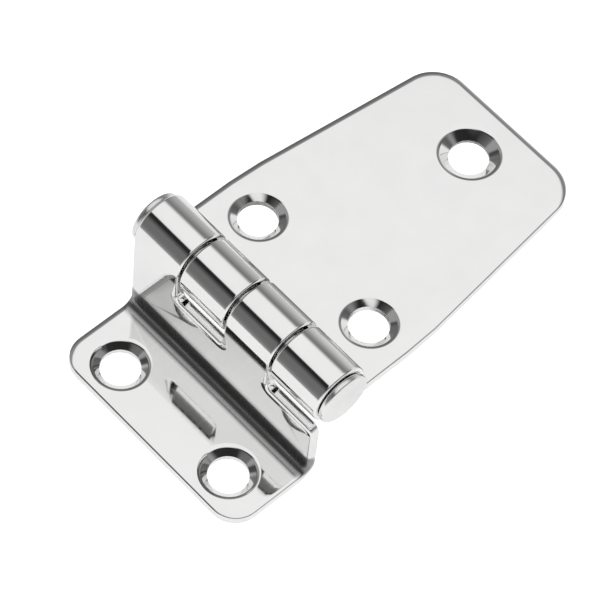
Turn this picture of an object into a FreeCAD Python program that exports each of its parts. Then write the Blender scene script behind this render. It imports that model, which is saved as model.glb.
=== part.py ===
import FreeCAD, Part
import math
import os

import Sketcher

# Cranked hinge in polished stainless sheet, millimetres. X runs along the pin, Y from the short plate
# towards the long leaf, Z up. The origin is midway between the short plate's two screws, on its underside.
SIZES = [
    ("hinge_width", 40.0),           # both leaves and the row of knuckles
    ("sheet_thickness", 2.0),
    ("pin_diameter", 6.0),
    ("pin_clearance", 0.05),         # radial play of the pin in the rolled knuckles
    ("knuckle_gap", 0.3),            # sideways play between neighbouring knuckles
    ("roll_gap", 0.4),               # rolled end of a knuckle to its own sheet
    ("crank_offset", 14.3),          # short plate's top face up to the long leaf's top face
    ("bend_radius", 1.5),            # inside of the bend between plate and riser
    ("plate_bend_land", 2.65),       # plate's sinks to the start of the bend
    ("plate_sink_land", 1.6),        # plate's front edge to its sinks
    ("plate_screw_inset", 7.75),     # plate's sides to its screws
    ("plate_corner_radius", 4.5),
    ("riser_notch_clearance", 0.75),  # long leaf's knuckles to the riser's notches under them
    ("leaf_row_to_pin", 13.5),       # long leaf's near screws to the pin's axis
    ("leaf_screw_inset", 7.65),      # long leaf's sides to its near screws
    ("leaf_length", 54.8),           # pin's axis to the far edge
    ("leaf_far_to_edge", 8.55),      # far screw to the far edge
    ("leaf_parallel_reach", 17.3),   # pin's axis to where the taper starts
    ("leaf_end_width", 31.3),        # across the far edge, before its corners are rounded
    ("leaf_corner_radius", 6.0),
    ("leaf_notch_clearance", 0.7),   # short plate's knuckles to the long leaf's notches behind them
    ("notch_corner_radius", 1.0),
    ("free_corner_radius", 1.5),     # where a notch runs out at the side of a leaf
    ("screw_hole", 6.4),
    ("sink_diameter", 9.0),          # of the cones, before their rims are rounded
    ("far_sink_diameter", 9.8),
    ("sink_angle", 100.0),
    ("near_sink_angle", 107.0),      # long leaf's near screws have flatter cones
    ("sink_edge_radius", 1.2),
    ("head_diameter", 9.0),
    ("head_thickness", 1.1),
    ("head_edge_radius", 0.4),
    ("head_clearance", 0.1),         # pin head to the end knuckle
    ("edge_radius", 0.7),            # sheet edges, rounded over by polishing
]
WORKED_OUT = [
    ("bore_radius", "pin_diameter / 2 + pin_clearance"),
    ("roll_radius", "bore_radius + sheet_thickness"),
    ("plate_row_to_pin", "sink_diameter / 2 + plate_bend_land + bend_radius + roll_radius"),
    ("knuckle_pitch", "hinge_width / 4"),
    ("plate_row_to_edge", "sink_diameter / 2 + plate_sink_land"),
    ("plate_screw_spacing", "hinge_width - 2 * plate_screw_inset"),
    ("leaf_screw_spacing", "hinge_width - 2 * leaf_screw_inset"),
    ("pin_height", "crank_offset + sheet_thickness + bore_radius"),
    ("notch_floor", "pin_height - roll_radius - riser_notch_clearance"),
    ("leaf_top", "pin_height - bore_radius"),
    ("leaf_end", "plate_row_to_pin + leaf_length"),
    ("leaf_near_row", "plate_row_to_pin + leaf_row_to_pin"),
    ("leaf_far_row", "leaf_end - leaf_far_to_edge"),
    ("taper_start", "plate_row_to_pin + leaf_parallel_reach"),
    ("leaf_notch_edge", "plate_row_to_pin + roll_radius + leaf_notch_clearance"),
    ("shank_half", "hinge_width / 2 + head_clearance"),
]
TOLERANCE = 1e-4
SHARP_ANGLE = math.radians(30)       # faces that meet at more than this have an edge to round


def make_sheet(doc):
    """Fills the sheet of sizes, one alias per row, and returns their values by name."""
    sheet = doc.addObject("Spreadsheet::Sheet", "Sizes")
    aliases = [name for name, _ in SIZES + WORKED_OUT]
    for row, (name, value) in enumerate(SIZES + WORKED_OUT, 1):
        sheet.set(f"A{row}", name)
        sheet.set(f"B{row}", str(value) if isinstance(value, float) else f"={value}")
        sheet.setAlias(f"B{row}", name)
    doc.recompute()
    return {name: float(sheet.get(name)) for name in aliases}


def new_body(doc, label):
    body = doc.addObject("PartDesign::Body", label)
    body.Label = label
    return body


def own_plane(body, role):
    return next(item for item in body.Origin.OriginFeatures if item.Role == role)


def new_sketch(body, name, role, offset=None):
    """A sketch on one of the body's own origin planes, moved by expressions for its x, y and z."""
    sketch = body.newObject("Sketcher::SketchObject", name)
    sketch.AttachmentSupport = [(own_plane(body, role), "")]
    sketch.MapMode = "FlatFace"
    for axis, formula in (offset or {}).items():
        sketch.setExpression(f"AttachmentOffset.Base.{axis}", formula)
    return sketch


def point(x, y):
    return FreeCAD.Vector(x, y, 0)


def add_line(sketch, start, end):
    return sketch.addGeometry(Part.LineSegment(point(*start), point(*end)), False)


def add_arc(sketch, centre, radius, start_angle, end_angle):
    circle = Part.Circle(point(*centre), FreeCAD.Vector(0, 0, 1), radius)
    return sketch.addGeometry(Part.ArcOfCircle(circle, start_angle, end_angle), False)


def tie(sketch, *constraints):
    for constraint in constraints:
        sketch.addConstraint(Sketcher.Constraint(*constraint))


def drive(sketch, name, formula, *constraint):
    """Adds one dimension to the sketch and binds it to the sheet."""
    index = sketch.addConstraint(Sketcher.Constraint(*constraint))
    sketch.renameConstraint(index, name)
    sketch.setExpression(f"Constraints.{name}", formula)


def add_rectangle(sketch, name, left, bottom, right, top, formulas):
    """A rectangle placed by four dimensions from the sketch's origin."""
    corners = [(left, bottom), (right, bottom), (right, top), (left, top)]
    edges = [add_line(sketch, corners[i], corners[(i + 1) % 4]) for i in range(4)]
    for i in range(4):
        tie(sketch, ("Coincident", edges[i], 2, edges[(i + 1) % 4], 1))
    tie(sketch, ("Horizontal", edges[0]), ("Horizontal", edges[2]))
    tie(sketch, ("Vertical", edges[1]), ("Vertical", edges[3]))
    drive(sketch, f"{name}_left", formulas[0], "DistanceX", -1, 1, edges[0], 1, left)
    drive(sketch, f"{name}_bottom", formulas[1], "DistanceY", -1, 1, edges[0], 1, bottom)
    drive(sketch, f"{name}_right", formulas[2], "DistanceX", -1, 1, edges[1], 1, right)
    drive(sketch, f"{name}_top", formulas[3], "DistanceY", -1, 1, edges[2], 1, top)


def add_hole_marks(sketch, places):
    """One circle for each screw hole; a place is its name, x, y and their two formulas."""
    for name, x, y, x_formula, y_formula, radius in places:
        mark = sketch.addGeometry(Part.Circle(point(x, y), FreeCAD.Vector(0, 0, 1), radius), False)
        drive(sketch, f"{name}_radius", "Sizes.screw_hole / 2", "Radius", mark, radius)
        drive(sketch, f"{name}_x", x_formula, "DistanceX", -1, 1, mark, 3, x)
        drive(sketch, f"{name}_y", y_formula, "DistanceY", -1, 1, mark, 3, y)


def pad_across(body, sketch):
    pad = body.newObject("PartDesign::Pad", f"{sketch.Name}_pad")
    pad.Profile = sketch
    pad.SideType = "Symmetric"
    pad.setExpression("Length", "Sizes.hinge_width")
    body.Document.recompute()
    return pad


def cut_through(body, sketch):
    """Cuts the sketch through the whole body, to both sides of its plane."""
    before = body.Shape.Volume
    pocket = body.newObject("PartDesign::Pocket", f"{sketch.Name}_cut")
    pocket.Profile = sketch
    pocket.Type = "ThroughAll"
    pocket.SideType = "Symmetric"
    body.Document.recompute()
    if body.Shape.Volume > before - TOLERANCE:
        raise RuntimeError(f"{sketch.Name} cuts nothing")
    return pocket


def sink_holes(body, sketch, sink_alias, angle_alias, rim_radius):
    """Countersunk screw holes down from the sketch's plane, with rounded rims."""
    before = body.Shape.Volume
    hole = body.newObject("PartDesign::Hole", f"{sketch.Name}_hole")
    hole.Profile = sketch
    hole.ThreadType = "None"
    hole.DepthType = "ThroughAll"
    hole.HoleCutType = "Countersink"
    hole.HoleCutCustomValues = True
    hole.setExpression("Diameter", "Sizes.screw_hole")
    hole.setExpression("HoleCutDiameter", f"Sizes.{sink_alias}")
    hole.setExpression("HoleCutCountersinkAngle", f"Sizes.{angle_alias}")
    body.Document.recompute()
    if body.Shape.Volume > before - TOLERANCE:
        raise RuntimeError(f"{sketch.Name} drills nothing")
    round_edges(body, f"{sketch.Name}_rims", "sink_edge_radius", circles_of(body.Shape, rim_radius))


def round_edges(body, name, radius_alias, edge_names):
    base = body.Tip
    fillet = body.newObject("PartDesign::Fillet", name)
    fillet.Base = (base, edge_names)
    fillet.setExpression("Radius", f"Sizes.{radius_alias}")
    body.Tip = fillet
    body.Document.recompute()
    return fillet


def edges_along(shape, axis, places):
    """Names of the straight edges along an axis that have their middles at the places, None for any."""
    names = []
    for number, edge in enumerate(shape.Edges, 1):
        if len(edge.Vertexes) != 2 or edge.Curve.TypeId != "Part::GeomLine":
            continue
        if abs(abs(edge.Curve.Direction[axis]) - 1) > TOLERANCE:
            continue
        middle = edge.CenterOfMass
        for place in places:
            if all(want is None or abs(middle[i] - want) < TOLERANCE for i, want in enumerate(place)):
                names.append(f"Edge{number}")
    return names


def circles_of(shape, radius):
    """Names of the round edges of one radius."""
    return [f"Edge{number}" for number, edge in enumerate(shape.Edges, 1)
            if not edge.Degenerated and edge.Curve.TypeId == "Part::GeomCircle"
            and abs(edge.Curve.Radius - radius) < TOLERANCE]


def sheet_edges(shape, screw_radius):
    """Names of the sharp edges of the sheet, apart from those of the screw holes and sinks."""
    names = []
    for number, edge in enumerate(shape.Edges, 1):
        faces = shape.ancestorsOfType(edge, Part.Face)
        if len(faces) != 2 or any(is_screw_face(face, screw_radius) for face in faces):
            continue
        middle = edge.valueAt((edge.FirstParameter + edge.LastParameter) / 2)
        normals = [face.normalAt(*face.Surface.parameter(middle)) for face in faces]
        if normals[0].getAngle(normals[1]) > SHARP_ANGLE:
            names.append(f"Edge{number}")
    return names


def is_screw_face(face, screw_radius):
    surface = face.Surface
    if surface.TypeId == "Part::GeomCone":
        return True
    return surface.TypeId == "Part::GeomCylinder" and abs(surface.Radius - screw_radius) < TOLERANCE


def make_cranked_leaf(doc, size):
    """Short plate, bend, riser and the first and third knuckles, folded from one sheet."""
    body = new_body(doc, "cranked_leaf")
    pin_y, pin_z = size["plate_row_to_pin"], size["pin_height"]
    bore, roll = size["bore_radius"], size["roll_radius"]
    bend, sheet = size["bend_radius"], size["sheet_thickness"]
    bend_y, bend_z = pin_y - roll - bend, sheet + bend
    front = -size["plate_row_to_edge"]
    quarter = math.pi / 2
    rolled_end = -math.acos((size["roll_gap"] - bore) / roll)
    end_in = (pin_y + bore * math.cos(rolled_end), pin_z + bore * math.sin(rolled_end))
    end_out = (pin_y + roll * math.cos(rolled_end), pin_z + roll * math.sin(rolled_end))

    profile = new_sketch(body, "crank_profile", "YZ_Plane")
    under = add_line(profile, (front, 0), (bend_y, 0))
    outer_bend = add_arc(profile, (bend_y, bend_z), bend + sheet, -quarter, 0)
    back = add_line(profile, (pin_y - bore, bend_z), (pin_y - bore, pin_z))
    inner_roll = add_arc(profile, (pin_y, pin_z), bore, rolled_end, math.pi)
    roll_end = add_line(profile, end_in, end_out)
    outer_roll = add_arc(profile, (pin_y, pin_z), roll, rolled_end, math.pi)
    face = add_line(profile, (pin_y - roll, pin_z), (pin_y - roll, bend_z))
    inner_bend = add_arc(profile, (bend_y, bend_z), bend, -quarter, 0)
    top = add_line(profile, (bend_y, sheet), (front, sheet))
    rim = add_line(profile, (front, sheet), (front, 0))
    tie(profile, ("Horizontal", under), ("Horizontal", top))
    tie(profile, ("Vertical", back), ("Vertical", face), ("Vertical", rim))
    tie(profile, ("Tangent", under, 2, outer_bend, 1), ("Tangent", outer_bend, 2, back, 1))
    tie(profile, ("Tangent", back, 2, inner_roll, 2), ("Coincident", inner_roll, 1, roll_end, 1))
    tie(profile, ("Coincident", roll_end, 2, outer_roll, 1), ("Tangent", outer_roll, 2, face, 1))
    tie(profile, ("Tangent", face, 2, inner_bend, 2), ("Tangent", inner_bend, 1, top, 1))
    tie(profile, ("Coincident", top, 2, rim, 1), ("Coincident", rim, 2, under, 1))
    tie(profile, ("Coincident", outer_roll, 3, inner_roll, 3), ("Coincident", inner_bend, 3, outer_bend, 3))
    tie(profile, ("PointOnObject", inner_roll, 3, roll_end), ("PointOnObject", under, 1, -1))
    drive(profile, "front_edge", "Sizes.plate_row_to_edge", "DistanceX", under, 1, -1, 1, -front)
    drive(profile, "pin_y", "Sizes.plate_row_to_pin", "DistanceX", -1, 1, inner_roll, 3, pin_y)
    drive(profile, "pin_z", "Sizes.pin_height", "DistanceY", -1, 1, inner_roll, 3, pin_z)
    drive(profile, "bore", "Sizes.bore_radius", "Radius", inner_roll, bore)
    drive(profile, "roll", "Sizes.roll_radius", "Radius", outer_roll, roll)
    drive(profile, "bend", "Sizes.bend_radius", "Radius", inner_bend, bend)
    drive(profile, "roll_gap", "Sizes.roll_gap", "DistanceX", back, 2, roll_end, 2, size["roll_gap"])
    pad_across(body, profile)

    half, pitch, play = size["hinge_width"] / 2, size["knuckle_pitch"], size["knuckle_gap"] / 2
    floor, above = size["notch_floor"], pin_z + 2 * roll
    notches = new_sketch(body, "riser_notches", "XZ_Plane")
    add_rectangle(notches, "inner", -pitch - play, floor, play, above,
                  ("-Sizes.knuckle_pitch - Sizes.knuckle_gap / 2", "Sizes.notch_floor",
                   "Sizes.knuckle_gap / 2", "Sizes.pin_height + 2 * Sizes.roll_radius"))
    add_rectangle(notches, "end", pitch - play, floor, half + roll, above,
                  ("Sizes.knuckle_pitch - Sizes.knuckle_gap / 2", "Sizes.notch_floor",
                   "Sizes.hinge_width / 2 + Sizes.roll_radius", "Sizes.pin_height + 2 * Sizes.roll_radius"))
    cut_through(body, notches)
    sides = [-pitch - play, play, pitch - play]
    round_edges(body, "notch_corners", "notch_corner_radius",
                edges_along(body.Shape, 1, [(x, None, floor) for x in sides]))
    round_edges(body, "riser_free_corner", "free_corner_radius",
                edges_along(body.Shape, 1, [(half, None, floor)]))
    round_edges(body, "plate_corners", "plate_corner_radius",
                edges_along(body.Shape, 2, [(x, front, None) for x in (-half, half)]))
    round_edges(body, "crank_edges", "edge_radius", sheet_edges(body.Shape, size["screw_hole"] / 2))

    marks = new_sketch(body, "plate_screws", "XY_Plane", {"z": "Sizes.sheet_thickness"})
    spacing = size["plate_screw_spacing"] / 2
    add_hole_marks(marks, [
        (name, side * spacing, 0, f"{side} * Sizes.plate_screw_spacing / 2", "0", size["screw_hole"] / 2)
        for name, side in (("left", -1), ("right", 1))])
    sink_holes(body, marks, "sink_diameter", "sink_angle", size["sink_diameter"] / 2)
    return body


def make_long_leaf(doc, size):
    """Flat tapered leaf and the second and fourth knuckles, rolled from one sheet under the pin."""
    body = new_body(doc, "long_leaf")
    pin_y, pin_z = size["plate_row_to_pin"], size["pin_height"]
    bore, roll, end = size["bore_radius"], size["roll_radius"], size["leaf_end"]
    rolled_end = math.asin((size["roll_gap"] - bore) / roll)
    bottom = 1.5 * math.pi
    end_in = (pin_y + bore * math.cos(rolled_end), pin_z + bore * math.sin(rolled_end))
    end_out = (pin_y + roll * math.cos(rolled_end), pin_z + roll * math.sin(rolled_end))

    profile = new_sketch(body, "leaf_profile", "YZ_Plane")
    under = add_line(profile, (end, pin_z - roll), (pin_y, pin_z - roll))
    outer_roll = add_arc(profile, (pin_y, pin_z), roll, rolled_end, bottom)
    roll_end = add_line(profile, end_out, end_in)
    inner_roll = add_arc(profile, (pin_y, pin_z), bore, rolled_end, bottom)
    top = add_line(profile, (pin_y, pin_z - bore), (end, pin_z - bore))
    rim = add_line(profile, (end, pin_z - bore), (end, pin_z - roll))
    tie(profile, ("Horizontal", under), ("Horizontal", top), ("Vertical", rim))
    tie(profile, ("Tangent", under, 2, outer_roll, 2), ("Coincident", outer_roll, 1, roll_end, 1))
    tie(profile, ("Coincident", roll_end, 2, inner_roll, 1), ("Tangent", inner_roll, 2, top, 1))
    tie(profile, ("Coincident", top, 2, rim, 1), ("Coincident", rim, 2, under, 1))
    tie(profile, ("Coincident", outer_roll, 3, inner_roll, 3), ("PointOnObject", inner_roll, 3, roll_end))
    drive(profile, "pin_y", "Sizes.plate_row_to_pin", "DistanceX", -1, 1, inner_roll, 3, pin_y)
    drive(profile, "pin_z", "Sizes.pin_height", "DistanceY", -1, 1, inner_roll, 3, pin_z)
    drive(profile, "bore", "Sizes.bore_radius", "Radius", inner_roll, bore)
    drive(profile, "roll", "Sizes.roll_radius", "Radius", outer_roll, roll)
    drive(profile, "far_edge", "Sizes.leaf_end", "DistanceX", -1, 1, rim, 1, end)
    drive(profile, "roll_gap", "Sizes.roll_gap", "DistanceY", top, 1, roll_end, 1, size["roll_gap"])
    pad_across(body, profile)

    half, half_end, taper = size["hinge_width"] / 2, size["leaf_end_width"] / 2, size["taper_start"]
    waste = new_sketch(body, "leaf_taper", "XY_Plane")
    slope = add_line(waste, (half, taper), (half_end, end))
    across = add_line(waste, (half_end, end), (half, end))
    side = add_line(waste, (half, end), (half, taper))
    tie(waste, ("Coincident", slope, 2, across, 1), ("Coincident", across, 2, side, 1))
    tie(waste, ("Coincident", side, 2, slope, 1))
    tie(waste, ("Horizontal", across), ("Vertical", side))
    drive(waste, "half_width", "Sizes.hinge_width / 2", "DistanceX", -1, 1, slope, 1, half)
    drive(waste, "taper_start", "Sizes.taper_start", "DistanceY", -1, 1, slope, 1, taper)
    drive(waste, "half_end", "Sizes.leaf_end_width / 2", "DistanceX", -1, 1, slope, 2, half_end)
    drive(waste, "far_edge", "Sizes.leaf_end", "DistanceY", -1, 1, slope, 2, end)
    taper_cut = cut_through(body, waste)
    other_side = body.newObject("PartDesign::Mirrored", "leaf_taper_mirrored")
    other_side.Originals = [taper_cut]
    other_side.MirrorPlane = (own_plane(body, "YZ_Plane"), [""])
    body.Tip = other_side
    doc.recompute()

    pitch, play, notch = size["knuckle_pitch"], size["knuckle_gap"] / 2, size["leaf_notch_edge"]
    before = pin_y - 2 * roll
    notches = new_sketch(body, "leaf_notches", "XY_Plane")
    add_rectangle(notches, "end", -half - roll, before, -pitch + play, notch,
                  ("-Sizes.hinge_width / 2 - Sizes.roll_radius",
                   "Sizes.plate_row_to_pin - 2 * Sizes.roll_radius",
                   "-Sizes.knuckle_pitch + Sizes.knuckle_gap / 2", "Sizes.leaf_notch_edge"))
    add_rectangle(notches, "inner", -play, before, pitch + play, notch,
                  ("-Sizes.knuckle_gap / 2", "Sizes.plate_row_to_pin - 2 * Sizes.roll_radius",
                   "Sizes.knuckle_pitch + Sizes.knuckle_gap / 2", "Sizes.leaf_notch_edge"))
    cut_through(body, notches)
    sides = [-pitch + play, -play, pitch + play]
    round_edges(body, "leaf_notch_corners", "notch_corner_radius",
                edges_along(body.Shape, 2, [(x, notch, None) for x in sides]))
    round_edges(body, "leaf_free_corner", "free_corner_radius",
                edges_along(body.Shape, 2, [(-half, notch, None)]))
    round_edges(body, "leaf_corners", "leaf_corner_radius",
                edges_along(body.Shape, 2, [(x, end, None) for x in (-half_end, half_end)]))
    round_edges(body, "leaf_edges", "edge_radius", sheet_edges(body.Shape, size["screw_hole"] / 2))

    near = new_sketch(body, "near_screws", "XY_Plane", {"z": "Sizes.leaf_top"})
    spacing, row, radius = size["leaf_screw_spacing"] / 2, size["leaf_near_row"], size["screw_hole"] / 2
    add_hole_marks(near, [
        (name, side * spacing, row, f"{side} * Sizes.leaf_screw_spacing / 2", "Sizes.leaf_near_row", radius)
        for name, side in (("left", -1), ("right", 1))])
    sink_holes(body, near, "sink_diameter", "near_sink_angle", size["sink_diameter"] / 2)
    far = new_sketch(body, "far_screw", "XY_Plane", {"z": "Sizes.leaf_top"})
    add_hole_marks(far, [("middle", 0, size["leaf_far_row"], "0", "Sizes.leaf_far_row", radius)])
    sink_holes(body, far, "far_sink_diameter", "sink_angle", size["far_sink_diameter"] / 2)
    return body


def make_hinge_pin(doc, size):
    """Round pin with a head formed at each end, turned about its own axis."""
    body = new_body(doc, "hinge_pin")
    shank, head = size["pin_diameter"] / 2, size["head_diameter"] / 2
    seat = size["shank_half"]
    tip = seat + size["head_thickness"]

    axis_place = {"y": "Sizes.plate_row_to_pin", "z": "Sizes.pin_height"}
    section = new_sketch(body, "pin_section", "XY_Plane", axis_place)
    outline = [(-tip, 0), (tip, 0), (tip, head), (seat, head),
               (seat, shank), (-seat, shank), (-seat, head), (-tip, head)]
    count = len(outline)
    edges = [add_line(section, outline[i], outline[(i + 1) % count]) for i in range(count)]
    for i in range(count):
        tie(section, ("Coincident", edges[i], 2, edges[(i + 1) % count], 1))
        tie(section, ("Horizontal" if i % 2 == 0 else "Vertical", edges[i]))
    tie(section, ("PointOnObject", edges[0], 1, -1))
    for name, place, corner in (("left", -1, 5), ("right", 1, 3)):
        drive(section, f"{name}_seat", f"{place} * Sizes.shank_half",
              "DistanceX", -1, 1, edges[corner], 1, place * seat)
    for name, place, corner in (("left", -1, 0), ("right", 1, 1)):
        drive(section, f"{name}_tip", f"{place} * (Sizes.shank_half + Sizes.head_thickness)",
              "DistanceX", -1, 1, edges[corner], 1, place * tip)
    for name, corner in (("left", 6), ("right", 2)):
        drive(section, f"{name}_head", "Sizes.head_diameter / 2",
              "DistanceY", -1, 1, edges[corner], 1, head)
    drive(section, "shank", "Sizes.pin_diameter / 2", "DistanceY", -1, 1, edges[4], 1, shank)

    turned = body.newObject("PartDesign::Revolution", "pin_turned")
    turned.Profile = section
    turned.ReferenceAxis = (section, ["H_Axis"])
    turned.Angle = 360.0
    doc.recompute()
    round_edges(body, "head_edges", "head_edge_radius", circles_of(body.Shape, head))
    return body


def check(doc, bodies):
    """Stops if any feature failed or a piece isn't one valid solid."""
    for item in doc.Objects:
        if "Invalid" in item.State or "Error" in item.State:
            raise RuntimeError(f"{item.Name} failed: {item.State}")
    for body in bodies:
        if body.Shape.isNull() or not body.Shape.isValid() or len(body.Shape.Solids) != 1:
            raise RuntimeError(f"{body.Label} isn't one valid solid")


doc = FreeCAD.newDocument("cranked_hinge")
size = make_sheet(doc)
bodies = [make_cranked_leaf(doc, size), make_long_leaf(doc, size), make_hinge_pin(doc, size)]
doc.recompute()
check(doc, bodies)
os.makedirs("parts", exist_ok=True)
for body in bodies:
    body.Shape.exportStep(f"parts/{body.Label}.step")
    print(body.Label, round(body.Shape.Volume, 1), "mm3", len(body.Shape.Faces), "faces")
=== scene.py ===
import math

import bmesh
import bpy
from mathutils import Matrix, Vector


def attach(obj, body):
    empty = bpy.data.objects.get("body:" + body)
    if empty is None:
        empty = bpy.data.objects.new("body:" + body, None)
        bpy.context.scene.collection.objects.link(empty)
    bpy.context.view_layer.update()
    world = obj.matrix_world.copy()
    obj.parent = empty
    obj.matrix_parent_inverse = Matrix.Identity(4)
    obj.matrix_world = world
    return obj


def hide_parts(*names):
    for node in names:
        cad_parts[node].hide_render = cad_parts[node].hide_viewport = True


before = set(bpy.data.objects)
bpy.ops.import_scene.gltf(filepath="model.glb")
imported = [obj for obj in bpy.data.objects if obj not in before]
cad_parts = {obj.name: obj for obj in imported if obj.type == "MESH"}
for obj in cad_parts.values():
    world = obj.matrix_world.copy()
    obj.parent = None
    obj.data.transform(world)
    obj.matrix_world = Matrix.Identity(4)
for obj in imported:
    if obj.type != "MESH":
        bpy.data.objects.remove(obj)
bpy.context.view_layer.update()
print("frame loaded:", ", ".join(sorted(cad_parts)))

# every piece is drawn in millimetres and scaled to metres when it is finished
hinge = {
    "halfWidth": 20.0,
    "sheet": 2.0,
    "edgeReach": 1.15,              # how far in the polished-over edges start
    "edgeTilt": 23.0,               # degrees that they have turned before the last tight round
    "edgeTight": 0.3,               # radius of that last round
    "edgeSteps": 8,
    "knuckleReach": 0.4,            # edgeReach at the sides of the knuckles
    "pinAxis": (0.0, 13.7, 19.35),  # a point on the pin's axis, which runs along x
    "rollRadius": 5.05,             # outside of the barrel
    "rollTurn": 301.6,              # degrees of sheet rolled round the pin
    "rollSteps": 120,
    "easeSteps": 6,                 # where a roll starts gently
    "rollEndRound": 0.15,
    "rollEndSteps": 3,
    "notchRound": 1.0,
    "notchSteps": 6,
    "sharpAngle": 32.0,             # steeper edges than this keep a crisp line
    "closeEnough": 0.0005,
    "toMetres": 0.001,
}


def onPlane(axis, value):
    return lambda place: abs(place[axis] - value) < hinge["closeEnough"]


def facesOn(bm, test):
    return [face for face in bm.faces if all(test(vert.co) for vert in face.verts)]


# the edges roll off gently and then turn tightly into the wall
# gives how deep they have fallen at a given run from where they start
def edgeFall(run):
    tilt, tight = math.radians(hinge["edgeTilt"]), hinge["edgeTight"]
    gentle = hinge["edgeReach"] - tight * (1 - math.sin(tilt))
    wide = gentle / math.sin(tilt)
    if run <= gentle:
        return wide - math.sqrt(wide ** 2 - run ** 2)
    turned = 1 - (hinge["edgeReach"] - run) / tight
    return wide * (1 - math.cos(tilt)) + tight * (math.cos(tilt) - math.sqrt(max(1 - turned ** 2, 0)))


# a flat blank of sheet: outline, rounded corners, thickness and rim
# the rim is left sharp where the sheet is folded on
def sheetBlank(corners, push, folds, rounding):
    bm = bmesh.new()
    bm.faces.new([bm.verts.new(corner) for corner in corners])
    for place, reach, steps in rounding:
        corner = min(bm.verts, key=lambda vert: (vert.co - Vector(place)).length)
        bmesh.ops.bevel(bm, geom=[corner], offset=reach, offset_type="OFFSET", segments=steps,
                        profile=0.5, affect="VERTICES", material=-1)
    made = bmesh.ops.extrude_face_region(bm, geom=bm.faces[:])
    lifted = [item for item in made["geom"] if isinstance(item, bmesh.types.BMVert)]
    drop = edgeFall(hinge["edgeReach"])
    tall = hinge["edgeReach"] / drop  # thick at first, so that a round edge ends up as a long, shallow one
    bmesh.ops.translate(bm, vec=Vector(push) * tall, verts=lifted)
    bmesh.ops.recalc_face_normals(bm, faces=bm.faces[:])
    rim = [edge for edge in bm.edges  # round the two flat faces, which have the most corners
           if max(len(face.verts) for face in edge.link_faces) > 4
           and not any(all(fold(vert.co) for vert in edge.verts) for fold in folds)]
    bmesh.ops.bevel(bm, geom=rim, offset=hinge["edgeReach"], offset_type="OFFSET",
                    segments=hinge["edgeSteps"], profile=0.5, affect="EDGES", clamp_overlap=False,
                    material=-1)
    bmesh.ops.scale(bm, vec=[1 / tall if step else 1 for step in push],
                    space=Matrix.Translation(-Vector(corners[0])), verts=bm.verts[:])
    through = Vector(push).normalized()
    for vert in bm.verts:  # from a quarter of an ellipse to the true fall of the edge
        depth = (vert.co - Vector(corners[0])).dot(through)
        fall = min(depth, hinge["sheet"] - depth)
        if fall < drop + hinge["closeEnough"]:
            level = min(max(1 - fall / drop, 0), 1)
            change = edgeFall(hinge["edgeReach"] * math.sqrt(1 - level ** 2)) - fall
            vert.co += through * (change if depth < hinge["sheet"] / 2 else -change)
    return bm


# what all five countersunk holes share
screwHole = {
    "holeRadius": 3.2,
    "rimRound": 1.2,
    "rimSteps": 8,
    "roundSteps": 96,
}


# rounded rim, cone and straight wall of one hole, turned round the screw's axis
def sinkHole(bm, place, sink):
    x, y, top = place
    slope = math.radians(sink["slope"])
    start = x + sink["sinkRadius"] + sink["rimRound"] * math.tan(slope / 2)
    rim = bm.verts.new((start, y, top))
    arc = bmesh.ops.spin(bm, geom=[rim], cent=(start, y, top - sink["rimRound"]), axis=(0, -1, 0),
                         angle=slope, steps=sink["rimSteps"])
    last = [item for item in arc["geom_last"] if isinstance(item, bmesh.types.BMVert)][0]
    neck = bmesh.ops.extrude_vert_indiv(bm, verts=[last])["verts"][0]
    depth = (sink["sinkRadius"] - sink["holeRadius"]) * math.tan(slope)
    neck.co = (x + sink["holeRadius"], y, top - depth)
    foot = bmesh.ops.extrude_vert_indiv(bm, verts=[neck])["verts"][0]
    foot.co = (x + sink["holeRadius"], y, top - hinge["sheet"])
    line = [edge for edge in bm.edges if edge.is_wire]
    ends = list(dict.fromkeys(vert for edge in line for vert in edge.verts))
    bmesh.ops.spin(bm, geom=line + ends, cent=place, axis=(0, 0, 1), angle=2 * math.pi,
                   steps=sink["roundSteps"], use_merge=True)


# the flat faces are filled again once the holes stand in them
def fillFlats(bm, heights):
    for height in heights:
        test = onPlane(2, height)
        bmesh.ops.delete(bm, geom=facesOn(bm, test), context="FACES_ONLY")
        loops = [edge for edge in bm.edges
                 if edge.is_boundary and all(test(vert.co) for vert in edge.verts)]
        bmesh.ops.triangle_fill(bm, use_beauty=True, use_dissolve=False, edges=loops)


# carries the cut end of a sheet round an axis along x and gives back the end that it comes to
def curl(bm, end, centre, degrees, steps):
    made = bmesh.ops.spin(bm, geom=[end, *end.edges, *end.verts], cent=centre, axis=(1, 0, 0),
                          angle=math.radians(degrees), steps=steps)
    return [item for item in made["geom_last"] if isinstance(item, bmesh.types.BMFace)][0]


# rolls the strips of a sheet into knuckles, with tighter edges than the rest of it
def rollRound(bm, ends, ease):
    x, y, z = hinge["pinAxis"]
    for end in ends:
        left, right = (pick(vert.co.x for vert in end.verts) for pick in (min, max))
        squeeze = hinge["knuckleReach"] / hinge["edgeReach"]
        for vert in end.verts:
            side = left if vert.co.x < (left + right) / 2 else right
            vert.co.x = side + (vert.co.x - side) * squeeze
        turn, shift = hinge["rollTurn"], 0.0
        if ease:  # the roll starts gently, which moves its centre by a hair
            radius, first = ease
            outer = min(end.verts, key=lambda vert: vert.co.y).co
            end = curl(bm, end, (0, outer.y + radius, outer.z), -first, hinge["easeSteps"])
            turn -= first
            shift = (radius - y + outer.y) * (1 - math.cos(math.radians(first)))
        tip = curl(bm, end, (x, y + shift, z), -turn, hinge["rollSteps"])
        bmesh.ops.bevel(bm, geom=tip.edges[:], offset=hinge["rollEndRound"], offset_type="OFFSET",
                        segments=hinge["rollEndSteps"], profile=0.5, affect="EDGES", material=-1)


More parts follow.
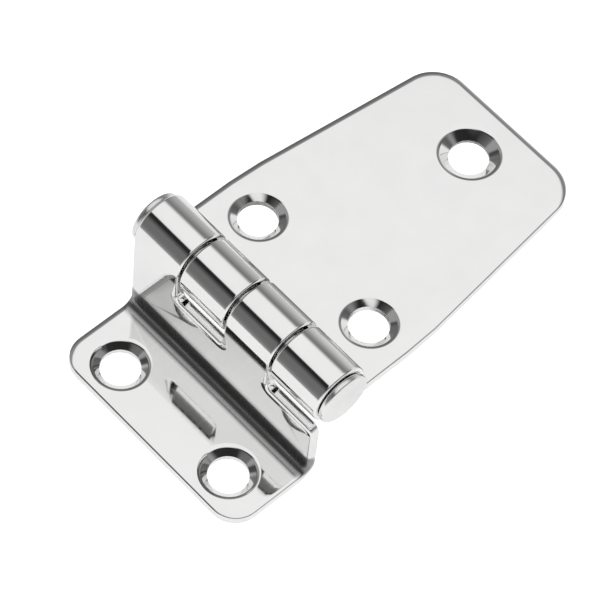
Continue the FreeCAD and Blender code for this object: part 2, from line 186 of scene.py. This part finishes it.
def finishPiece(bm, name, node, body, material):
    bmesh.ops.remove_doubles(bm, verts=bm.verts[:], dist=hinge["closeEnough"])
    bmesh.ops.recalc_face_normals(bm, faces=bm.faces[:])
    bmesh.ops.scale(bm, vec=[hinge["toMetres"]] * 3, verts=bm.verts[:])
    openEdges = [edge for edge in bm.edges if not edge.is_manifold]
    for face in bm.faces:
        face.smooth = True
    mesh = bpy.data.meshes.new(name)
    bm.to_mesh(mesh)
    bm.free()
    mesh.set_sharp_from_angle(angle=math.radians(hinge["sharpAngle"]))
    mesh.materials.append(material)
    piece = bpy.data.objects.new(name, mesh)
    bpy.context.scene.collection.objects.link(piece)
    flatten = piece.modifiers.new("flatFaces", "WEIGHTED_NORMAL")
    flatten.keep_sharp = True
    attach(piece, body)
    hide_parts(node)
    print(name, "made:", len(mesh.polygons), "faces,", len(openEdges), "open edges")


steel = {
    "tone": (0.86, 0.86, 0.855),
    "toneLow": (0.835, 0.835, 0.83),
    "roughLow": 0.035,
    "roughHigh": 0.075,
    "cloudScale": 180.0,
    "cloudDetail": 3.0,
    "cloudSpread": (0.3, 0.7),
    "grainScale": (2600.0, 90.0, 90.0),
    "grainDetail": 2.0,
    "grainSpread": (0.25, 0.75),
    "waveScale": 140.0,
    "waveDetail": 1.0,
    "waveHeight": 0.000006,
}


def polishedSteel(name, look):
    material = bpy.data.materials.new(name)
    material.use_nodes = True
    tree = material.node_tree
    nodes, links = tree.nodes, tree.links
    shader = nodes["Principled BSDF"]
    shader.inputs["Metallic"].default_value = 1.0
    place = nodes.new("ShaderNodeTexCoord")
    cloud = nodes.new("ShaderNodeTexNoise")  # slight clouds left by the buffing wheel
    cloud.inputs["Scale"].default_value = look["cloudScale"]
    cloud.inputs["Detail"].default_value = look["cloudDetail"]
    links.new(place.outputs["Object"], cloud.inputs["Vector"])
    tone = nodes.new("ShaderNodeValToRGB")
    stops = zip(tone.color_ramp.elements, look["cloudSpread"], (look["toneLow"], look["tone"]))
    for element, position, shade in stops:
        element.position = position
        element.color = (*shade, 1)
    links.new(cloud.outputs["Fac"], tone.inputs["Fac"])
    colour = tone.outputs["Color"]
    stretch = nodes.new("ShaderNodeMapping")
    stretch.inputs["Scale"].default_value = look["grainScale"]
    links.new(place.outputs["Object"], stretch.inputs["Vector"])
    grain = nodes.new("ShaderNodeTexNoise")  # fine polishing lines
    grain.inputs["Scale"].default_value = 1.0
    grain.inputs["Detail"].default_value = look["grainDetail"]
    links.new(stretch.outputs["Vector"], grain.inputs["Vector"])
    rough = nodes.new("ShaderNodeMapRange")
    rough.inputs["From Min"].default_value, rough.inputs["From Max"].default_value = look["grainSpread"]
    rough.inputs["To Min"].default_value = look["roughLow"]
    rough.inputs["To Max"].default_value = look["roughHigh"]
    links.new(grain.outputs["Fac"], rough.inputs["Value"])
    dullness = rough.outputs["Result"]
    if "dullShadeLine" in look:  # the buffing wheel hardly reaches into the bend, so it is rougher there; its colour is also darkened there, a painted shade band standing in for the bend's dark reflection
        away = nodes.new("ShaderNodeMapping")
        away.vector_type = "TEXTURE"
        away.inputs["Location"].default_value = look["dullShadeLine"]
        away.inputs["Scale"].default_value = look["dullShadeShape"]
        links.new(place.outputs["Object"], away.inputs["Vector"])
        reach = nodes.new("ShaderNodeVectorMath")
        reach.operation = "LENGTH"
        links.new(away.outputs["Vector"], reach.inputs[0])
        dullAndShade = nodes.new("ShaderNodeMapRange")
        dullAndShade.interpolation_type = "SMOOTHSTEP"
        dullAndShade.inputs["From Min"].default_value, dullAndShade.inputs["From Max"].default_value = look["dullShadeReach"]
        dullAndShade.inputs["To Min"].default_value, dullAndShade.inputs["To Max"].default_value = 1.0, 0.0
        links.new(reach.outputs["Value"], dullAndShade.inputs["Value"])
        both = nodes.new("ShaderNodeMath")
        both.operation = "MULTIPLY_ADD"
        both.inputs[1].default_value = look["dullRough"]
        links.new(dullAndShade.outputs["Result"], both.inputs[0])
        links.new(dullness, both.inputs[2])
        dullness = both.outputs["Value"]
        # painted shade: the bend's colour is mixed towards a dark grey, a painted dark reflection band
        paintedBendShade = nodes.new("ShaderNodeMixRGB")
        paintedBendShade.inputs["Color2"].default_value = (*look["bendShadeTone"], 1)
        links.new(dullAndShade.outputs["Result"], paintedBendShade.inputs["Fac"])
        links.new(colour, paintedBendShade.inputs["Color1"])
        colour = paintedBendShade.outputs["Color"]
    links.new(colour, shader.inputs["Base Color"])
    links.new(dullness, shader.inputs["Roughness"])
    wave = nodes.new("ShaderNodeTexNoise")  # sheet is never quite flat
    wave.inputs["Scale"].default_value = look["waveScale"]
    wave.inputs["Detail"].default_value = look["waveDetail"]
    links.new(place.outputs["Object"], wave.inputs["Vector"])
    bump = nodes.new("ShaderNodeBump")
    bump.inputs["Strength"].default_value = 1.0
    bump.inputs["Distance"].default_value = look["waveHeight"]
    links.new(wave.outputs["Fac"], bump.inputs["Height"])
    links.new(bump.outputs["Normal"], shader.inputs["Normal"])
    return material


sheetSteel = polishedSteel("polishedSheet", steel)
crankSteel = polishedSteel("polishedCrank", {
    **steel,
    "dullShadeLine": (0.0, 0.0080, 0.0039),  # a point in the bend, in metres
    "dullShadeShape": (1000.0, 1.8, 1.75),   # as good as endless along it
    "dullShadeReach": (0.0010, 0.00145),
    "dullRough": 0.23,
    # dark grey painted into the bend as a painted shade band
    "bendShadeTone": (0.25, 0.25, 0.25),
})
pinSteel = polishedSteel("polishedPin", {
    **steel,
    "tone": (0.84, 0.84, 0.835),
    "toneLow": (0.74, 0.74, 0.735),
    "roughLow": 0.20,
    "roughHigh": 0.30,
})
print("materials made")

# short plate, bend, riser and the first and third knuckles
crankedLeaf = {
    "frontEdge": -6.1,
    "bendRadius": 1.5,
    "bendSteps": 24,
    "rollEase": (30.0, 4.0),        # radius and degrees at the start of the roll
    "riserFront": 8.65,
    "notchFloor": 13.55,
    "cornerRound": 4.5,
    "cornerSteps": 12,
    "endRound": 1.5,                # upper corner of the riser's free end
    "knuckles": ((-20.0, -10.25), (0.25, 9.75)),
    "screws": (-12.25, 12.25),
    "sink": {**screwHole, "sinkRadius": 4.5, "slope": 40.0},
}


def makeCrankedLeaf(size):
    half, sheet, front = hinge["halfWidth"], hinge["sheet"], size["frontEdge"]
    bend, low = size["riserFront"] - size["bendRadius"], sheet + size["bendRadius"]
    plate = sheetBlank(
        [(-half, front, 0), (half, front, 0), (half, bend, 0), (-half, bend, 0)], (0, 0, sheet),
        [onPlane(1, bend)],
        [((side * half, front, 0), size["cornerRound"], size["cornerSteps"]) for side in (-1, 1)])
    for x in size["screws"]:
        sinkHole(plate, (x, 0, sheet), size["sink"])
    fillFlats(plate, (0, sheet))
    end = curl(plate, facesOn(plate, onPlane(1, bend))[0], (0, bend, low), 90, size["bendSteps"])
    bmesh.ops.delete(plate, geom=[end], context="FACES_ONLY")

    y, floor = size["riserFront"], size["notchFloor"]
    easeRadius, easeTurn = size["rollEase"]
    high = hinge["pinAxis"][2] - (easeRadius - hinge["rollRadius"]) * math.sin(math.radians(easeTurn))
    (a, b), (c, d) = size["knuckles"]
    riser = sheetBlank(
        [(a, y, low), (half, y, low), (half, y, floor), (d, y, floor), (d, y, high), (c, y, high),
         (c, y, floor), (b, y, floor), (b, y, high), (a, y, high)], (0, sheet, 0),
        [onPlane(2, low), onPlane(2, high)],
        [((x, y, floor), hinge["notchRound"], hinge["notchSteps"]) for x in (d, c, b)]
        + [((half, y, floor), size["endRound"], hinge["notchSteps"])])
    rollRound(riser, facesOn(riser, onPlane(2, high)), size["rollEase"])
    bmesh.ops.delete(riser, geom=facesOn(riser, onPlane(2, low)), context="FACES_ONLY")
    joined = bpy.data.meshes.new("riserBlank")
    riser.to_mesh(joined)
    riser.free()
    plate.from_mesh(joined)
    bpy.data.meshes.remove(joined)
    finishPiece(plate, "crankedLeafPolished", "cranked_leaf", "fixed_side", crankSteel)


makeCrankedLeaf(crankedLeaf)

# flat tapered leaf with the second and fourth knuckles
longLeaf = {
    "underside": 14.3,
    "notchEdge": 19.45,
    "taperStart": 31.0,
    "taperReach": 3.0,              # the taper sets in over this much to either side
    "taperSteps": 1,
    "farEdge": 68.5,
    "farHalf": 15.65,
    "cornerReach": 5.34,            # makes a radius of 6 at the far corners
    "cornerSteps": 16,
    "notchEndRound": 1.5,
    "knuckles": ((-9.75, -0.25), (10.25, 20.0)),
    "nearScrews": ((-12.35, 27.2), (12.35, 27.2)),
    "farScrew": (0.0, 59.95),
    "nearSink": {**screwHole, "sinkRadius": 4.5, "slope": 36.5},
    "farSink": {**screwHole, "sinkRadius": 4.9, "slope": 40.0},
}


def makeLongLeaf(size):
    half, sheet, low = hinge["halfWidth"], hinge["sheet"], size["underside"]
    roll, notch = hinge["pinAxis"][1], size["notchEdge"]
    (a, b), (c, d) = size["knuckles"]
    taper, end, endHalf = size["taperStart"], size["farEdge"], size["farHalf"]
    leaf = sheetBlank(
        [(-half, notch, low), (a, notch, low), (a, roll, low), (b, roll, low), (b, notch, low),
         (c, notch, low), (c, roll, low), (d, roll, low), (half, taper, low), (endHalf, end, low),
         (-endHalf, end, low), (-half, taper, low)], (0, 0, sheet),
        [onPlane(1, roll)],
        [((x, notch, low), hinge["notchRound"], hinge["notchSteps"]) for x in (a, b, c)]
        + [((-half, notch, low), size["notchEndRound"], hinge["notchSteps"])]
        + [((side * half, taper, low), size["taperReach"], size["taperSteps"]) for side in (-1, 1)]
        + [((side * endHalf, end, low), size["cornerReach"], size["cornerSteps"]) for side in (-1, 1)])
    top = low + sheet
    for x, y in size["nearScrews"]:
        sinkHole(leaf, (x, y, top), size["nearSink"])
    sinkHole(leaf, (*size["farScrew"], top), size["farSink"])
    fillFlats(leaf, (low, top))
    rollRound(leaf, facesOn(leaf, onPlane(1, roll)), None)
    finishPiece(leaf, "longLeafPolished", "long_leaf", "swing_side", sheetSteel)


makeLongLeaf(longLeaf)

# pin with a head formed at each end
pin = {
    "shankRadius": 3.0,
    "headRadius": 4.5,
    "seat": 20.1,
    "tip": 21.2,
    "headRound": 0.4,
    "headSteps": 5,
    "rimMatch": 0.01,               # how closely an edge has to lie on a head's rim
    "roundSteps": 96,
}


def makePin(size):
    bm = bmesh.new()
    x, y, z = hinge["pinAxis"]
    tip, seat, head, shank = (size[key] for key in ("tip", "seat", "headRadius", "shankRadius"))
    outline = [(-tip, 0), (-tip, head), (-seat, head), (-seat, shank),
               (seat, shank), (seat, head), (tip, head), (tip, 0)]
    verts = [bm.verts.new((place, y, z + radius)) for place, radius in outline]
    for start, finish in zip(verts, verts[1:]):
        bm.edges.new((start, finish))
    bmesh.ops.spin(bm, geom=bm.verts[:] + bm.edges[:], cent=(x, y, z), axis=(1, 0, 0),
                   angle=2 * math.pi, steps=size["roundSteps"], use_merge=True)
    bmesh.ops.remove_doubles(bm, verts=bm.verts[:], dist=hinge["closeEnough"])

    def onRim(vert):
        return abs((vert.co - Vector((vert.co.x, y, z))).length - head) < size["rimMatch"]

    rims = [edge for edge in bm.edges if all(onRim(vert) for vert in edge.verts)
            and abs(edge.verts[0].co.x - edge.verts[1].co.x) < size["rimMatch"]]
    bmesh.ops.bevel(bm, geom=rims, offset=size["headRound"], offset_type="OFFSET",
                    segments=size["headSteps"], profile=0.5, affect="EDGES", material=-1)
    finishPiece(bm, "hingePinPolished", "hinge_pin", "fixed_side", pinSteel)


makePin(pin)

studio = {
    "floorSize": 4.0,
    "floorTone": (0.94, 0.94, 0.94),
    "floorGlow": 0.7,               # lightens the floor for the camera alone, so shadows stay faint
    "floorRough": 0.9,
    # brightness of the room by height above the horizon in degrees, under one wide ceiling light
    "backRoom": ((-12, 0.90), (0, 0.84), (10, 0.69), (18, 0.52), (25, 0.37), (33, 0.26), (40, 0.20),
                 (45, 0.36), (51, 0.90), (56, 0.97)),
    # the other sides: the way they lie, how far towards it they fade in, and their brightness
    "sides": (
        ((0.0, -1.0, 0.0), (-0.10, 0.35),    # front
         ((-12, 0.80), (0, 0.36), (8, 0.20), (18, 0.165), (36, 0.16), (44, 0.07), (49, 0.02),
          (56, 0.02), (58.5, 0.92), (66, 0.96))),
        ((-1.0, 0.0, 0.0), (0.40, 0.55),     # left
         ((-12, 0.60), (12, 0.55), (16, 0.08), (22, 0.06), (25.5, 0.34), (40, 0.34), (47, 0.25),
          (53, 0.90), (58, 0.97))),
        ((-0.90, 0.43, 0.0), (0.65, 0.85),   # left and back
         ((-12, 0.55), (0, 0.22), (10, 0.15), (42, 0.15), (47, 0.25), (53, 0.90), (58, 0.97))),
        ((0.87, -0.50, 0.0), (0.40, 0.60),   # right and front
         ((-12, 0.85), (9, 0.80), (15, 0.55), (20, 0.38), (29, 0.32), (35, 0.03), (46, 0.02),
          (48, 0.05), (49.6, 0.85), (54, 0.95), (62, 0.97))),
        ((0.50, 0.866, 0.0), (0.75, 0.90),   # right and back
         ((-12, 0.90), (14, 0.90), (18, 0.16), (24, 0.12), (44, 0.05), (49, 0.90), (56, 0.97))),
    ),
    "cameraSky": (0.95, 0.95, 0.95),
    "keyPlace": (0.42, -0.48, 1.0),
    "keySize": 0.4,
    "keyPower": 9.0,
}


def roomRamp(nodes, stops):
    ramp = nodes.new("ShaderNodeValToRGB")
    while len(ramp.color_ramp.elements) < len(stops):
        ramp.color_ramp.elements.new(1.0)
    for element, (degrees, value) in zip(ramp.color_ramp.elements, stops):
        element.position = 0.5 + 0.5 * math.sin(math.radians(degrees))
        element.color = (value, value, value, 1)
    return ramp


def fade(nodes, links, source, edge):
    step = nodes.new("ShaderNodeMapRange")
    step.interpolation_type = "SMOOTHSTEP"
    step.inputs["From Min"].default_value, step.inputs["From Max"].default_value = edge
    links.new(source, step.inputs["Value"])
    return step.outputs["Result"]


def makeStudio(look):
    world = bpy.data.worlds.new("studio")
    bpy.context.scene.world = world
    world.use_nodes = True
    nodes, links = world.node_tree.nodes, world.node_tree.links
    sky = nodes["Background"]
    place = nodes.new("ShaderNodeTexCoord")
    split = nodes.new("ShaderNodeSeparateXYZ")
    links.new(place.outputs["Generated"], split.inputs["Vector"])
    height = nodes.new("ShaderNodeMapRange")  # straight down is 0, the horizon 0.5, straight up 1
    height.inputs["From Min"].default_value = -1.0
    links.new(split.outputs["Z"], height.inputs["Value"])
    back = roomRamp(nodes, look["backRoom"])
    links.new(height.outputs["Result"], back.inputs["Fac"])
    shade = back.outputs["Color"]
    for way, edge, stops in look["sides"]:
        room = roomRamp(nodes, stops)
        links.new(height.outputs["Result"], room.inputs["Fac"])
        towards = nodes.new("ShaderNodeVectorMath")
        towards.operation = "DOT_PRODUCT"
        towards.inputs[1].default_value = way
        links.new(place.outputs["Generated"], towards.inputs[0])
        mixed = nodes.new("ShaderNodeMixRGB")
        links.new(fade(nodes, links, towards.outputs["Value"], edge), mixed.inputs["Fac"])
        links.new(shade, mixed.inputs["Color1"])
        links.new(room.outputs["Color"], mixed.inputs["Color2"])
        shade = mixed.outputs["Color"]
    path = nodes.new("ShaderNodeLightPath")
    seen = nodes.new("ShaderNodeMixRGB")
    seen.inputs["Color2"].default_value = (*look["cameraSky"], 1)
    links.new(path.outputs["Is Camera Ray"], seen.inputs["Fac"])
    links.new(shade, seen.inputs["Color1"])
    links.new(seen.outputs["Color"], sky.inputs["Color"])

    bm = bmesh.new()
    bmesh.ops.create_grid(bm, x_segments=1, y_segments=1, size=look["floorSize"] / 2)
    mesh = bpy.data.meshes.new("floor")
    bm.to_mesh(mesh)
    bm.free()
    floor = bpy.data.objects.new("floor", mesh)
    bpy.context.scene.collection.objects.link(floor)
    pale = bpy.data.materials.new("paleFloor")
    pale.use_nodes = True
    nodes, links = pale.node_tree.nodes, pale.node_tree.links
    shader = nodes["Principled BSDF"]
    shader.inputs["Base Color"].default_value = (*look["floorTone"], 1)
    shader.inputs["Roughness"].default_value = look["floorRough"]
    shader.inputs["Emission Color"].default_value = (*look["floorTone"], 1)
    path = nodes.new("ShaderNodeLightPath")
    glow = nodes.new("ShaderNodeMath")
    glow.operation = "MULTIPLY"
    glow.inputs[1].default_value = look["floorGlow"]
    links.new(path.outputs["Is Camera Ray"], glow.inputs[0])
    links.new(glow.outputs["Value"], shader.inputs["Emission Strength"])
    mesh.materials.append(pale)

    key = bpy.data.objects.new("keyLight", bpy.data.lights.new("keyLight", "AREA"))
    key.data.size = look["keySize"]
    key.data.energy = look["keyPower"]
    key.location = look["keyPlace"]
    key.rotation_euler = (-Vector(look["keyPlace"])).to_track_quat("-Z", "Y").to_euler()
    key.visible_glossy = False      # the ceiling light is already in the room's brightness
    bpy.context.scene.collection.objects.link(key)


makeStudio(studio)
print("studio made")

camera = {
    "eye": (0.199757, -0.202872, 0.487725),
    "aim": (0.003780, 0.021780, 0.016300),
    "roll": 7.425,
    "lens": 221.28,
    "sensor": 36.0,
    "clip": 0.01,
}


def makeCamera(view):
    eye = bpy.data.objects.new("photoCamera", bpy.data.cameras.new("photoCamera"))
    eye.data.lens = view["lens"]
    eye.data.sensor_width = view["sensor"]
    eye.data.clip_start = view["clip"]
    look = (Vector(view["aim"]) - Vector(view["eye"])).to_track_quat("-Z", "Y").to_matrix().to_4x4()
    roll = Matrix.Rotation(math.radians(view["roll"]), 4, "Z")
    eye.matrix_world = Matrix.Translation(view["eye"]) @ look @ roll
    bpy.context.scene.collection.objects.link(eye)
    bpy.context.scene.camera = eye


makeCamera(camera)
bpy.context.scene.view_settings.view_transform = "Standard"
